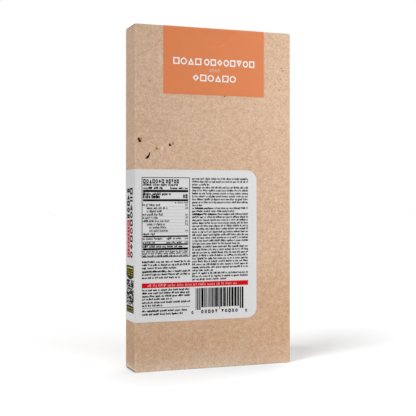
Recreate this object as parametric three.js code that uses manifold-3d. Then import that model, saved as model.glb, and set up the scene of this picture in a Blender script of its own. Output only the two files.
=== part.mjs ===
// A shut carton of brown kraft board that holds one chocolate bar, standing on end.
// Both end closures hinge on the back panel and tuck in behind the front panel. A paper seal runs
// from the front over the top closure to the back, and a paper label wraps the left side, from the
// front to the back. Nothing inside the shut carton can be seen, so the carton is one solid.
// Millimetres. The origin is under the middle of the carton, which stands on Z = 0: +X runs across
// the front, +Y from the front panel to the back panel, and +Z up.
import * as THREE from "three";
import { mergeVertices } from "three/addons/utils/BufferGeometryUtils.js";
import Module from "manifold-3d";

// Carton
const width = 80.3; // over the two side panels
const depth = 16; // over the front and back panels
const height = 164; // over the two closures
const board = 0.4; // thickness of the kraft board
const foldRadius = 0.42; // outside radius of every creased fold
const closureInset = 0.25; // how far a closure ends short of each side panel
const slitWidth = 0.15; // between a closure's bend and the front panel
const slitDepth = 0.8;
const lapTurn = 70; // degrees that the glue flap's fold turns before it goes under the back panel
const dustTurn = 75; // degrees that a dust flap's fold turns before it goes under the closure
const notchRadius = 10; // thumb notch in the front panel, under the seal
const notchDepth = 9.3;

// Papers
const paper = 0.12; // thickness of both papers
const sealWidth = 51.9;
const sealShift = -0.15; // how far the seal's middle is from the carton's, along X
const sealDrop = 32.3; // how far the seal hangs down the front and the back
const labelTop = 95.6;
const labelBottom = 23.4;
const labelFrontReach = 62.05; // from the left side along the front
const labelBackReach = 20; // from the left side along the back
const labelCorner = 5;

const arcDivisions = 3; // three.js makes twice as many chords of an arc
const overrun = 1; // how far a cutter runs past what it cuts

const halfWidth = width / 2;
const halfDepth = depth / 2;
const quarter = Math.PI / 2;

const wasm = await Module();
wasm.setup();

// Where an outline's x, its y and the way it is extruded point, for a prism along each axis.
const alongAxis = {
  x: new THREE.Matrix4().makeBasis(
    new THREE.Vector3(0, 1, 0),
    new THREE.Vector3(0, 0, 1),
    new THREE.Vector3(1, 0, 0),
  ),
  y: new THREE.Matrix4().makeBasis(
    new THREE.Vector3(-1, 0, 0),
    new THREE.Vector3(0, 0, 1),
    new THREE.Vector3(0, 1, 0),
  ),
  z: new THREE.Matrix4(),
};

// A closed outline pushed along an axis from one place to another, as a solid that can be cut.
// The outline is in (Y, Z) for a prism along X, in (-X, Z) along Y and in (X, Y) along Z.
function prism(outline, axis, from, to) {
  const geometry = new THREE.ExtrudeGeometry(outline, {
    depth: to - from,
    bevelEnabled: false,
    curveSegments: arcDivisions,
  });
  geometry.translate(0, 0, from);
  geometry.applyMatrix4(alongAxis[axis]);
  geometry.deleteAttribute("normal");
  geometry.deleteAttribute("uv");
  const merged = mergeVertices(geometry, 1e-5);
  return new wasm.Manifold(
    new wasm.Mesh({
      numProp: 3,
      vertProperties: merged.attributes.position.array,
      triVerts: new Uint32Array(merged.index.array),
    }),
  );
}

// A solid turned back into a geometry.
function geometryOf(solid) {
  const { vertProperties, triVerts } = solid.getMesh();
  const geometry = new THREE.BufferGeometry();
  geometry.setAttribute("position", new THREE.BufferAttribute(vertProperties, 3));
  geometry.setIndex(new THREE.BufferAttribute(triVerts, 1));
  geometry.computeVertexNormals();
  return geometry;
}

// A rectangle from (left, low) to (right, high) whose four corners are arcs.
function roundedRectangle(left, low, right, high, radius) {
  const outline = new THREE.Shape();
  outline.moveTo(left + radius, low);
  outline.absarc(right - radius, low + radius, radius, -quarter, 0, false);
  outline.absarc(right - radius, high - radius, radius, 0, quarter, false);
  outline.absarc(left + radius, high - radius, radius, quarter, 2 * quarter, false);
  outline.absarc(left + radius, low + radius, radius, 2 * quarter, 3 * quarter, false);
  return outline;
}

// The carton seen from above. Three upright edges are folds. At the right back edge the back panel
// is glued over a flap, so its raw edge lies flush with the side and the flap's fold makes a groove.
function sleevePlan() {
  const lapAngle = THREE.MathUtils.degToRad(lapTurn);
  const lapLine = halfDepth - board;
  const r = foldRadius;
  const outline = new THREE.Shape();
  outline.moveTo(-halfWidth + r, -halfDepth);
  outline.absarc(halfWidth - r, -halfDepth + r, r, -quarter, 0, false);
  outline.absarc(halfWidth - r, lapLine - r, r, 0, lapAngle, false);
  outline.lineTo(halfWidth, lapLine);
  outline.lineTo(halfWidth, halfDepth);
  outline.absarc(-halfWidth + r, halfDepth - r, r, quarter, 2 * quarter, false);
  outline.absarc(-halfWidth + r, -halfDepth + r, r, 2 * quarter, 3 * quarter, false);
  return outline;
}

// The carton seen from the side, in (Y, Z): the front panel's two raw edges, a slit behind each, the
// bend with which each closure goes into its slit, and the folds between the closures and the back.
function closureSection() {
  const r = foldRadius;
  const inside = -halfDepth + board;
  const bend = inside + slitWidth;
  const outline = new THREE.Shape();
  outline.moveTo(-halfDepth, 0);
  outline.lineTo(inside, 0);
  outline.lineTo(inside, slitDepth);
  outline.lineTo(bend, slitDepth);
  outline.absarc(bend + r, r, r, 2 * quarter, 3 * quarter, false);
  outline.absarc(halfDepth - r, r, r, -quarter, 0, false);
  outline.absarc(halfDepth - r, height - r, r, 0, quarter, false);
  outline.absarc(bend + r, height - r, r, quarter, 2 * quarter, false);
  outline.lineTo(bend, height - slitDepth);
  outline.lineTo(inside, height - slitDepth);
  outline.lineTo(inside, height);
  outline.lineTo(-halfDepth, height);
  return outline;
}

// What is missing at one end of a closure, in (-X, Z): past the closure's raw edge there is only
// the fold with which the side panel turns in as a dust flap. side and end are each 1 or -1.
function closureEndGap(side, end) {
  const r = foldRadius;
  const dustAngle = THREE.MathUtils.degToRad(dustTurn);
  const edge = side * (halfWidth - closureInset);
  const outer = side * (halfWidth + overrun);
  const middle = height / 2;
  const underside = middle - board;
  const foldCentre = new THREE.Vector2(halfWidth - r, underside - r);
  const outline = new THREE.Shape();
  outline.moveTo(outer, middle + end * (middle + overrun));
  outline.lineTo(edge, middle + end * (middle + overrun));
  outline.lineTo(edge, middle + end * underside);
  for (let step = 2 * arcDivisions; step >= 0; step--) {
    const angle = (dustAngle * step) / (2 * arcDivisions);
    const x = foldCentre.x + r * Math.cos(angle);
    const z = foldCentre.y + r * Math.sin(angle);
    outline.lineTo(side * x, middle + end * z);
  }
  outline.lineTo(outer, middle + end * foldCentre.y);
  return outline;
}

function cartonSolid() {
  const inside = -halfDepth + board;
  let solid = prism(sleevePlan(), "z", 0, height);
  const section = prism(closureSection(), "x", -halfWidth - overrun, halfWidth + overrun);
  solid = solid.intersect(section);
  for (const side of [-1, 1]) {
    for (const end of [-1, 1]) {
      const gap = prism(closureEndGap(side, end), "y", inside, halfDepth + overrun);
      solid = solid.subtract(gap);
    }
  }
  const notch = new THREE.Shape();
  notch.absarc(0, height - notchDepth + notchRadius, notchRadius, 0, 4 * quarter, false);
  return solid.subtract(prism(notch, "y", -halfDepth - overrun, inside));
}

// The seal in (Y, Z): up the front, square over the raw edge and the slit, and round the back fold.
function sealSolid() {
  const r = foldRadius;
  const low = height - sealDrop;
  const outline = new THREE.Shape();
  outline.moveTo(-halfDepth - paper, low);
  outline.lineTo(-halfDepth, low);
  outline.lineTo(-halfDepth, height);
  outline.absarc(halfDepth - r, height - r, r, quarter, 0, true);
  outline.lineTo(halfDepth, low);
  outline.lineTo(halfDepth + paper, low);
  outline.absarc(halfDepth - r, height - r, r + paper, 0, quarter, false);
  outline.absarc(-halfDepth, height, paper, quarter, 2 * quarter, false);
  return prism(outline, "x", sealShift - sealWidth / 2, sealShift + sealWidth / 2);
}

// The label in (X, Y): along the front to the left, round both left folds, and along the back. Its
// two free ends have round corners, which are cut by a rounded prism in front and one behind.
function labelSolid() {
  const r = foldRadius;
  const frontEnd = -halfWidth + labelFrontReach;
  const backEnd = -halfWidth + labelBackReach;
  const far = -halfWidth - 4 * labelCorner;
  const outline = new THREE.Shape();
  outline.moveTo(frontEnd, -halfDepth - paper);
  outline.lineTo(frontEnd, -halfDepth);
  outline.absarc(-halfWidth + r, -halfDepth + r, r, 3 * quarter, 2 * quarter, true);
  outline.absarc(-halfWidth + r, halfDepth - r, r, 2 * quarter, quarter, true);
  outline.lineTo(backEnd, halfDepth);
  outline.lineTo(backEnd, halfDepth + paper);
  outline.absarc(-halfWidth + r, halfDepth - r, r + paper, quarter, 2 * quarter, false);
  outline.absarc(-halfWidth + r, -halfDepth + r, r + paper, 2 * quarter, 3 * quarter, false);
  const wrap = prism(outline, "z", labelBottom, labelTop);
  const trim = (end, from, to) =>
    prism(roundedRectangle(-end, labelBottom, -far, labelTop, labelCorner), "y", from, to);
  const front = trim(frontEnd, -halfDepth - overrun, 0);
  const back = trim(backEnd, 0, halfDepth + overrun);
  return wrap.intersect(front.add(back));
}

function pieceOf(name, solid, colour, roughness) {
  const material = new THREE.MeshStandardMaterial({ color: colour, roughness, metalness: 0 });
  const mesh = new THREE.Mesh(geometryOf(solid), material);
  mesh.name = name;
  return mesh;
}

const chocolateBarPack = new THREE.Group();
chocolateBarPack.add(
  pieceOf("carton", cartonSolid(), 0xd6b493, 0.9),
  pieceOf("seal_label", sealSolid(), 0xdd8859, 0.6),
  pieceOf("info_label", labelSolid(), 0xe2e2e2, 0.55),
);

export default chocolateBarPack;
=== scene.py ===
import math
import bpy
import numpy as np
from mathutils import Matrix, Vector


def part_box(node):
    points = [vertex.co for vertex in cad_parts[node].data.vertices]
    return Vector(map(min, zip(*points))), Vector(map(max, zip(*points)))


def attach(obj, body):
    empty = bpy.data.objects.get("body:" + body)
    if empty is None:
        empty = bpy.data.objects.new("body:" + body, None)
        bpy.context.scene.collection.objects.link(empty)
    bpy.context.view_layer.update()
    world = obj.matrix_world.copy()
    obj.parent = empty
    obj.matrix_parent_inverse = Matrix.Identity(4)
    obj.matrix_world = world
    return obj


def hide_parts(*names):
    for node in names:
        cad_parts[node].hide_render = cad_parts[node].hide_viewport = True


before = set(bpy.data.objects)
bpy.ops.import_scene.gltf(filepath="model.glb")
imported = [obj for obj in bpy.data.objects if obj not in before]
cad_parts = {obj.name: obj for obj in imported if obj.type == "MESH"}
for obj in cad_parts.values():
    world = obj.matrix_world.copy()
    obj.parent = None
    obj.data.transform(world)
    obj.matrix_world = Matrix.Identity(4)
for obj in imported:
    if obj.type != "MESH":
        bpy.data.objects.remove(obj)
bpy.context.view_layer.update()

# Everything below is worked out in millimetres and scaled as it goes into a mesh.
mm = 0.001
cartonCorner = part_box("carton")[1]
halfWidth = round(cartonCorner.x / mm, 3)
halfDepth = round(cartonCorner.y / mm, 3)
height = round(cartonCorner.z / mm, 3)


camera = {
    "at": (-0.155118, -0.421334, 0.081620),
    "towards": (0.344357, 0.938839, 0.0),
    "lens": 78.909,
    "sensor": 36.0,
    "shiftDown": 0.02184,
    "clipStart": 0.01,
}

suns = {
    # from: the way to the light; the angle is how wide its disc is, in degrees
    "sunLeft": {"from": (-0.573, -0.291, 0.766), "energy": 2.28, "angle": 29},
    "sunFront": {"from": (0.056, -0.640, 0.766), "energy": 0.72, "angle": 35},
    "sunBehind": {"from": (0.258, 0.429, 0.866), "energy": 1.34, "angle": 60},
}

softLights = {
    "softRight": {"at": (0.20, -0.16, 0.14), "aim": (0.03, 0.0, 0.10), "size": 0.12, "power": 0.178},
    "softNear": {"at": (0.09, -0.12, 0.20), "aim": (0.04, 0.0, 0.12), "size": 0.10, "power": 0.038},
}

room = {"lighting": 0.0, "seen": 1.0, "floorReach": 4.0}


def addObject(name, data):
    thing = bpy.data.objects.new(name, data)
    bpy.context.scene.collection.objects.link(thing)
    return thing


def lookAlong(thing, way):
    thing.rotation_mode = "QUATERNION"
    thing.rotation_quaternion = Vector(way).to_track_quat("-Z", "Y")


def addCamera():
    lens = bpy.data.cameras.new("camera")
    lens.lens = camera["lens"]
    lens.sensor_width = camera["sensor"]
    lens.shift_y = -camera["shiftDown"]
    lens.clip_start = camera["clipStart"]
    thing = addObject("camera", lens)
    thing.location = camera["at"]
    lookAlong(thing, camera["towards"])
    bpy.context.scene.camera = thing


def addLamp(name, kind, energy, way):
    lamp = bpy.data.lights.new(name, kind)
    lamp.energy = energy
    thing = addObject(name, lamp)
    lookAlong(thing, way)
    return thing


def addLights():
    for name, sun in suns.items():
        thing = addLamp(name, "SUN", sun["energy"], -Vector(sun["from"]))
        thing.data.angle = math.radians(sun["angle"])
    for name, soft in softLights.items():
        thing = addLamp(name, "AREA", soft["power"], Vector(soft["aim"]) - Vector(soft["at"]))
        thing.data.shape = "DISK"
        thing.data.size = soft["size"]
        thing.location = soft["at"]
        thing.visible_camera = False
    print("lights set")


# The room is white where it is looked at, and gives no light.
def addRoom():
    world = bpy.data.worlds.new("room")
    bpy.context.scene.world = world
    world.use_nodes = True
    tree = world.node_tree
    tree.nodes.clear()
    path = tree.nodes.new("ShaderNodeLightPath")
    mix = tree.nodes.new("ShaderNodeMixShader")
    out = tree.nodes.new("ShaderNodeOutputWorld")
    tree.links.new(path.outputs["Is Camera Ray"], mix.inputs[0])
    for number, strength in enumerate((room["lighting"], room["seen"]), 1):
        white = tree.nodes.new("ShaderNodeBackground")
        white.inputs["Color"].default_value = (1, 1, 1, 1)
        white.inputs["Strength"].default_value = strength
        tree.links.new(white.outputs[0], mix.inputs[number])
    tree.links.new(mix.outputs[0], out.inputs["Surface"])
    bpy.context.scene.view_settings.view_transform = "Standard"
    bpy.context.scene.view_settings.look = "None"


# A method that works on a wire and another value with one Math node.
def byMaths(operation, swapped=False, clamp=False):
    def work(wire, other=0.0):
        first, second = (other, wire) if swapped else (wire, other)
        settings = {"operation": operation, "use_clamp": clamp}
        return wire.recipe.node("ShaderNodeMath", settings, {0: first, 1: second})

    return work


# A value in a material. An expression on it adds the Math nodes that work it out.
class Wire:
    def __init__(self, recipe, socket):
        self.recipe = recipe
        self.socket = socket

    __add__ = __radd__ = byMaths("ADD")
    __sub__ = byMaths("SUBTRACT")
    __rsub__ = byMaths("SUBTRACT", swapped=True)
    __mul__ = __rmul__ = byMaths("MULTIPLY")
    __truediv__ = byMaths("DIVIDE")
    __rtruediv__ = byMaths("DIVIDE", swapped=True)
    __abs__ = byMaths("ABSOLUTE")
    most = byMaths("MAXIMUM")
    least = byMaths("MINIMUM")
    clamped = byMaths("ADD", clamp=True)


# One material: a Principled shader and the nodes that feed it.
class Recipe:
    def __init__(self, name, fixed):
        self.material = bpy.data.materials.new(name)
        self.material.use_nodes = True
        self.tree = self.material.node_tree
        self.shader = self.tree.nodes["Principled BSDF"]
        for socket, value in fixed.items():
            self.shader.inputs[socket].default_value = value

    def node(self, kind, settings, sockets, output=0):
        made = self.tree.nodes.new(kind)
        for key, value in settings.items():
            setattr(made, key, value)
        for key, value in sockets.items():
            self.feed(made.inputs[key], value)
        return Wire(self, made.outputs[output])

    def feed(self, socket, value):
        if isinstance(value, Wire):
            self.tree.links.new(value.socket, socket)
        else:
            socket.default_value = value

    # Where the point is on the piece, in millimetres.
    def place(self):
        where = self.node("ShaderNodeTexCoord", {}, {}, "Object")
        return self.vector("MULTIPLY", where, (1 / mm, 1 / mm, 1 / mm))

    # Chosen ones of a vector's three parts.
    def parts(self, wire, *chosen):
        return [self.node("ShaderNodeSeparateXYZ", {}, {0: wire}, k) for k in chosen]

    def vector(self, operation, *inputs, output=0):
        settings = {"operation": operation}
        return self.node("ShaderNodeVectorMath", settings, dict(enumerate(inputs)), output)

    def length(self, wire):
        return self.vector("LENGTH", wire, output="Value")

    # Noise whose lumps are about size millimetres, stretched by a factor along each axis.
    def noise(self, at, size, shift=(0, 0, 0), detail=1.0, rough=0.5, stretch=(1, 1, 1)):
        squeeze = tuple(1 / part for part in stretch)
        moved = self.vector("MULTIPLY_ADD", at, squeeze, shift)
        sockets = {"Vector": moved, "Scale": 1 / size, "Detail": detail, "Roughness": rough}
        return self.node("ShaderNodeTexNoise", {}, sockets, 0)

    # 0 below low, 1 above high and a smooth rise between.
    def rise(self, value, low, high):
        settings = {"interpolation_type": "SMOOTHSTEP"}
        sockets = {"Value": value, "From Min": low, "From Max": high}
        return self.node("ShaderNodeMapRange", settings, sockets)

    # Thin wandering lines: where the noise is within width of its middle value.
    def hairs(self, noise, width):
        return (1 - abs(noise - 0.5) / width).most(0.0)

    # How far the point is in from the nearest fold, and from the front or back. With its distance
    # in from each pair of faces, a fold is where two of the three are small.
    def toFolds(self, at):
        fromMiddle = self.vector("ABSOLUTE", self.vector("SUBTRACT", at, (0, 0, height / 2)))
        inward = self.vector("SUBTRACT", (halfWidth, halfDepth, height / 2), fromMiddle)
        inX, inY, inZ = self.parts(inward, 0, 1, 2)
        return inX.most(inY).least(inY.most(inZ)).least(inX.most(inZ)), inY

    # Two colours, each a wire or three parts.
    def mix(self, factor, *colours):
        first, second = (c if isinstance(c, Wire) else (*c, 1.0) for c in colours)
        sockets = {0: factor, 6: first, 7: second}
        return self.node("ShaderNodeMix", {"data_type": "RGBA"}, sockets, 2)

    def times(self, first, second):
        return self.vector("MULTIPLY", first, second)

    # The colour times a tint where share is 1, unchanged where it is 0.
    def tint(self, colour, share, tint):
        return self.times(colour, self.mix(share, (1, 1, 1), tint))

    # The finished material. Its surface is made uneven by height, from 0 to 1, times depth in
    # millimetres.
    def finish(self, colour, roughness, height, depth):
        self.feed(self.shader.inputs["Base Color"], colour)
        self.feed(self.shader.inputs["Roughness"], roughness)
        sockets = {"Strength": 1.0, "Distance": depth * mm, "Height": height}
        self.feed(self.shader.inputs["Normal"], self.node("ShaderNodeBump", {}, sockets))
        return self.material


# A colour with each of its parts multiplied by share.
def scaled(colour, share):
    return tuple(part * share for part in colour)


kraft = {
    "pale": (0.678, 0.492, 0.366),
    "brown": (0.459, 0.285, 0.170),
    "pinkTint": (1.035, 0.995, 1.0),
    "greenTint": (0.965, 1.005, 1.0),
    "blueTint": (1.0, 1.0, 1.06),
    "yellowTint": (1.0, 1.0, 0.94),
    # painted shade for light that falls off: darker towards the left and low down
    "leftPaintedShade": (0.925, 0.915, 0.915),
    "lowPaintedShade": (0.96, 0.917, 0.855),
    "fibrePale": (0.74, 0.57, 0.44),
    "fibreDark": (0.42, 0.25, 0.14),
    "worn": (0.67, 0.55, 0.44),
    "fleck": (0.20, 0.11, 0.055),
    "chalk": (0.72, 0.65, 0.61),
    # the cut edge: the board's greyer core, darkened as painted shade
    "cut": (0.17, 0.15, 0.13),
    # painted shade for light that falls off: darker low on the sides, low at the right and at the top left
    "lowSidePaintedShade": (0.91, 0.905, 0.895),
    "lowRightPaintedShade": (0.98, 0.945, 0.905),
    "highLeftPaintedShade": (0.965, 0.972, 0.968),
    # painted light and shade at the foot: a pale glow from the floor, a pale line on the sides, and dark
    # edges of shade
    "paintedFootLight": (1.27, 1.48, 1.72),
    "paintedFootHighlight": (1.08, 1.22, 1.34),
    "paintedFootEdgeShade": (0.70, 0.72, 0.76),
    "footShade": (0.40, 0.40, 0.42),
    # soft pale patches in the front panel: across, up, half width, half height, strength
    "patches": [(-26.7, 105.5, 0.75, 1.5, 0.75), (-27.6, 148.0, 1.2, 4.5, 0.3)],
}


# Kraft board: clouds, mottle and grain in two tones, wandering pale and dark fibres, small flecks,
# pale worn folds, and a few chalky patches, with painted shade low down and to the left, and painted
# light and shade at the foot.
def kraftMaterial():
    recipe = Recipe("kraftBoard", {"Specular IOR Level": 0.3, "IOR": 1.45})
    at = recipe.place()
    rise = recipe.rise
    cloud = recipe.noise(at, 24)
    blotch = recipe.noise(at, 2.0, (31, 17, 5), stretch=(1.5, 1.5, 1.0))
    grain = recipe.noise(at, 0.8, (7, 3, 41), 2.0, 0.6)
    tone = 0.5 + (cloud - 0.5) * 0.3 + (blotch - 0.5) * 0.6 + (grain - 0.5) * 1.6
    base = recipe.mix(tone.clamped(), kraft["brown"], kraft["pale"])
    warm = rise(recipe.noise(at, 1.1, (19, 5, 77)), 0.3, 0.7)
    dull = rise(recipe.noise(at, 1.3, (3, 91, 15)), 0.3, 0.7)
    warmth = recipe.mix(warm, kraft["greenTint"], kraft["pinkTint"])
    coolness = recipe.mix(dull, kraft["yellowTint"], kraft["blueTint"])
    base = recipe.times(recipe.times(base, warmth), coolness)

    patchy = rise(recipe.noise(at, 3.2, (3, 55, 9)), 0.45, 0.62)
    across = recipe.noise(at, 2.2, (61, 2, 13), stretch=(2.2, 2.2, 0.9))
    upright = recipe.noise(at, 2.0, (12, 71, 8), stretch=(0.9, 0.9, 2.0))
    paleHairs = recipe.hairs(across, 0.022) * patchy
    darkHairs = recipe.hairs(upright, 0.018) * (1 - patchy)
    base = recipe.mix(paleHairs * 0.38, base, kraft["fibrePale"])
    base = recipe.mix(darkHairs * 0.22, base, kraft["fibreDark"])

    cell = {"Vector": at, "Scale": 0.30, "Randomness": 1.0}
    near = recipe.node("ShaderNodeTexVoronoi", {"feature": "F1"}, cell, "Distance")
    drawn = recipe.node("ShaderNodeTexVoronoi", {"feature": "F1"}, cell, "Color")
    lot = recipe.node("ShaderNodeSeparateColor", {}, {"Color": drawn}, 0)
    fleckReach = (lot - 0.55).most(0.0) * 0.14
    base = recipe.mix(rise(fleckReach - near, 0.0, 0.02) * 0.7, base, kraft["fleck"])

    toFold, inY = recipe.toFolds(at)
    worn = (1 - rise(toFold, 0.15, 0.85)) * rise(grain + blotch, 0.75, 1.25)
    base = recipe.mix(worn * 0.32, base, kraft["worn"])

    for across, up, halfAcross, halfUp, strength in kraft["patches"]:
        offset = recipe.vector("SUBTRACT", at, (across, -halfDepth, up))
        away = recipe.length(recipe.vector("DIVIDE", offset, (halfAcross, 1.0, halfUp)))
        patch = (1 - rise(away + (grain - 0.5) * 1.2, 0.2, 1.1)) * strength
        base = recipe.mix(patch, base, kraft["chalk"])

    # painted shade, standing in for light that falls off across the board: it is made a little browner low
    # down, most of all on its sides and at its right, and greyer towards its left and at its top left
    # corner
    alongX, alongZ = recipe.parts(at, 0, 2)
    lowDown = 1 - rise(alongZ, 5, 75)
    onSide = rise(inY, 0.3, 1.0)
    onFront = 1 - onSide
    # painted light and shade at the foot: it is painted paler, less so to the right, for the glow of the
    # white floor below it, and ends in a thin painted shade on the front; the sides have a painted pale
    # line above a painted dark band of shade
    near = (1 - alongZ / 18).clamped()
    frontFootLight = near * near * near * (1 - 0.4 * rise(alongX, -15, 45))
    sideFootLight = 1 - rise(alongZ, 0.5, 5.5)
    tints = {
        "lowPaintedShade": lowDown,
        "lowSidePaintedShade": lowDown * onSide,
        "lowRightPaintedShade": lowDown * rise(alongX, -5, 40),
        "leftPaintedShade": 1 - rise(alongX, -60, 40),
        "highLeftPaintedShade": rise(alongZ, 110, 150) * (1 - rise(alongX, -38, -12)) * onFront,
        "paintedFootLight": frontFootLight + (sideFootLight - frontFootLight) * onSide,
        "footShade": (1 - rise(alongZ, 0.45, 0.95)) * onSide,
        "paintedFootHighlight": (1 - rise(abs(alongZ - 1.5), 0.2, 0.75)) * onSide,
        "paintedFootEdgeShade": (1 - rise(alongZ, 0.15, 0.75)) * onFront * (1 - rise(alongX, 10, 60)),
    }
    for name, share in tints.items():
        base = recipe.tint(base, share, kraft[name])
    rough = 0.86 + (grain - 0.5) * 0.2
    uneven = grain * 0.5 + blotch * 0.3 + paleHairs * 0.35 - darkHairs * 0.2
    return recipe.finish(base, rough, uneven, 0.03)


# The board's cut edge: a greyer brown with fine layers, made darker as painted shade, as if it lay in the
# shadowed gaps.
def cutEdgeMaterial():
    recipe = Recipe("boardCutEdgeInShade", {"Specular IOR Level": 0.2})
    at = recipe.place()
    layers = recipe.noise(at, 0.35, detail=3.0, rough=0.65)
    colour = recipe.mix(layers, scaled(kraft["cut"], 0.75), scaled(kraft["cut"], 1.25))
    return recipe.finish(colour, 0.88 + (layers - 0.5) * 0.1, layers, 0.04)


# Printed or plain paper: an even colour with faint clouds, fine tooth and a soft shine. Its folds are
# painted a little
# darker or paler by a factor: painted shade below 1, a painted highlight above 1.
def paperMaterial(name, colour, shine, clouds, tooth, foldLightFactor):
    recipe = Recipe(name, {"Specular IOR Level": 0.35})
    at = recipe.place()
    cloud = recipe.noise(at, 9, detail=2.0)
    fine = recipe.noise(at, 0.55, (5, 9, 2), 3.0, 0.6)
    tone = (0.5 + (cloud - 0.5) + (fine - 0.5) * 0.7).clamped()
    base = recipe.mix(tone, scaled(colour, 1 - clouds), scaled(colour, 1 + clouds))
    toFold, _ = recipe.toFolds(at)
    # painted shade (factor below 1) or painted highlight (factor above 1) near the folds
    base = recipe.tint(base, 1 - recipe.rise(toFold, 0.2, 1.1), (foldLightFactor,) * 3)
    return recipe.finish(base, shine + (fine - 0.5) * 0.12, fine, tooth)


# Ink: the colour thins out a little in small spots, as a printed solid does.
def inkMaterial(name, colour, thin, shine=0.5):
    recipe = Recipe(name, {"Specular IOR Level": 0.03})
    at = recipe.place()
    spots = recipe.noise(at, 0.35, detail=2.0, rough=0.6)
    wash = recipe.noise(at, 3.0, (9, 1, 4))
    worn = recipe.rise(spots * 0.6 + wash * 0.4, 0.5, 0.72)
    base = recipe.mix(worn * 0.35, colour, thin)
    return recipe.finish(base, shine + (spots - 0.5) * 0.15, spots, 0.004)


floorShade = {
    "near": [(0.915, 0.915, 0.915), (0.935, 0.935, 0.935)],
    "far": (0.955, 0.955, 0.955),
    "farReach": (150, 500),
    # the shade before the foot: how far it reaches, where it grows and ends across, its colour and
    # its most
    "reach": 42,
    "growsFrom": 95,
    "growsOver": 100,
    "ends": (25, 60),
    "colour": (0.04, 0.265, 0.44),
    "most": 0.23,
    "deepAt": (60, 31, 0),
    "deepReach": (1, 17),
    "deepTint": (0.895, 0.905, 0.915),
}


# The floor is white. A shade is part of its colour before the carton's foot, where it grows across
# as a square, and another lies deep in the shadow behind.
def floorMaterial():
    recipe = Recipe("floorWhite", {"Roughness": 0.9, "Specular IOR Level": 0.1})
    at = recipe.place()
    rise = recipe.rise
    base = recipe.mix(recipe.noise(at, 400, detail=2.0), *floorShade["near"])
    base = recipe.mix(rise(recipe.length(at), *floorShade["farReach"]), base, floorShade["far"])
    alongX, alongY = recipe.parts(at, 0, 1)
    before = rise(alongY, -halfDepth - floorShade["reach"], -halfDepth)
    before = before * (1 - rise(alongY, -halfDepth, halfDepth))
    across = ((alongX + floorShade["growsFrom"]) / floorShade["growsOver"]).clamped()
    between = across * across * (1 - rise(alongX, *floorShade["ends"]))
    base = recipe.mix(before * between * floorShade["most"], base, floorShade["colour"])
    away = recipe.length(recipe.vector("SUBTRACT", at, floorShade["deepAt"]))
    deep = 1 - rise(away, *floorShade["deepReach"])
    base = recipe.tint(base, deep, floorShade["deepTint"])
    recipe.feed(recipe.shader.inputs["Base Color"], base)
    return recipe.material


tiny = 1e-6
straight = 0.999  # a facing with more than this along an axis is on a flat stretch

# A skin is (points, facings, quads): the outer surface of something thin, with the way out at
# each point.


# The quads are turned to agree with the facings, as the middle quad shows.
def agree(points, facings, quads):
    middle = quads[len(quads) // 2]
    corner = points[middle]
    normal = np.cross(corner[1] - corner[0], corner[3] - corner[0])
    return points, facings, quads if normal @ facings[middle[0]] >= 0 else quads[:, ::-1]


# A grid of points as a skin.
def gridSkin(points, facings):
    rows, columns = points.shape[:2]
    index = np.arange(rows * columns).reshape(rows, columns)
    corners = [index[:-1, :-1], index[:-1, 1:], index[1:, 1:], index[1:, :-1]]
    quads = np.stack(corners, -1).reshape(-1, 4)
    return agree(points.reshape(-1, 3), facings.reshape(-1, 3), quads)


# Skins made one: each one's quads are counted on from the points of those before it.
def joinSkins(skins):
    starts = np.cumsum([0] + [len(skin[0]) for skin in skins[:-1]])
    moved = [(*skin[:2], skin[2] + start) for skin, start in zip(skins, starts)]
    return tuple(np.concatenate(part) for part in zip(*moved))


# Points that lie on each other become one.
def weldSkin(skin):
    points, facings, quads = skin
    found = np.unique(np.round(points, 5), axis=0, return_index=True, return_inverse=True)
    kept, renumbered = found[1], found[2].reshape(-1)
    return points[kept], facings[kept], renumbered[quads]


# A skin made solid: a second skin lies thickness further in, against the facings, and a wall of
# quads joins the two along each open edge. The marks are 1 on that wall.
def closeSkin(skin, thickness):
    points, facings, quads = skin
    count = len(points)
    tails, heads = quads.reshape(-1), np.roll(quads, -1, axis=1).reshape(-1)
    atEdge = ~np.isin(tails * count + heads, heads * count + tails)
    tails, heads = tails[atEdge], heads[atEdge]
    wall = np.stack([heads, tails, tails + count, heads + count], 1)
    allPoints = np.concatenate([points, points - facings * thickness])
    allQuads = np.concatenate([quads, quads[:, ::-1] + count, wall])
    marks = np.zeros(len(allQuads), np.int32)
    marks[2 * len(quads) :] = 1
    return allPoints, allQuads, marks


# A piece of the carton from a skin: it rides on the carton's one body.
def addPiece(name, skin, thickness, materials, smoothAngle=35, bevel=0.0):
    points, quads, marks = closeSkin(skin, thickness)
    mesh = bpy.data.meshes.new(name)
    mesh.vertices.add(len(points))
    mesh.vertices.foreach_set("co", (points * mm).astype(np.float32).ravel())
    mesh.loops.add(quads.size)
    mesh.loops.foreach_set("vertex_index", quads.astype(np.int32).ravel())
    mesh.polygons.add(len(quads))
    mesh.polygons.foreach_set("loop_start", np.arange(0, quads.size, 4, dtype=np.int32))
    mesh.update(calc_edges=True)
    for material in materials:
        mesh.materials.append(material)
    if len(materials) > 1:
        mesh.polygons.foreach_set("material_index", marks)
    mesh.polygons.foreach_set("use_smooth", np.ones(len(quads), bool))
    mesh.set_sharp_from_angle(angle=math.radians(smoothAngle))
    mesh.validate()
    piece = addObject(name, mesh)
    if bevel:
        soften = piece.modifiers.new("softenedEdges", "BEVEL")
        soften.width = bevel * mm
        soften.segments = 2
        soften.limit_method = "ANGLE"
        soften.angle_limit = math.radians(board["bevelAngle"])
    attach(piece, "root")
    print("made", name, len(quads), "quads")
    return piece


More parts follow.
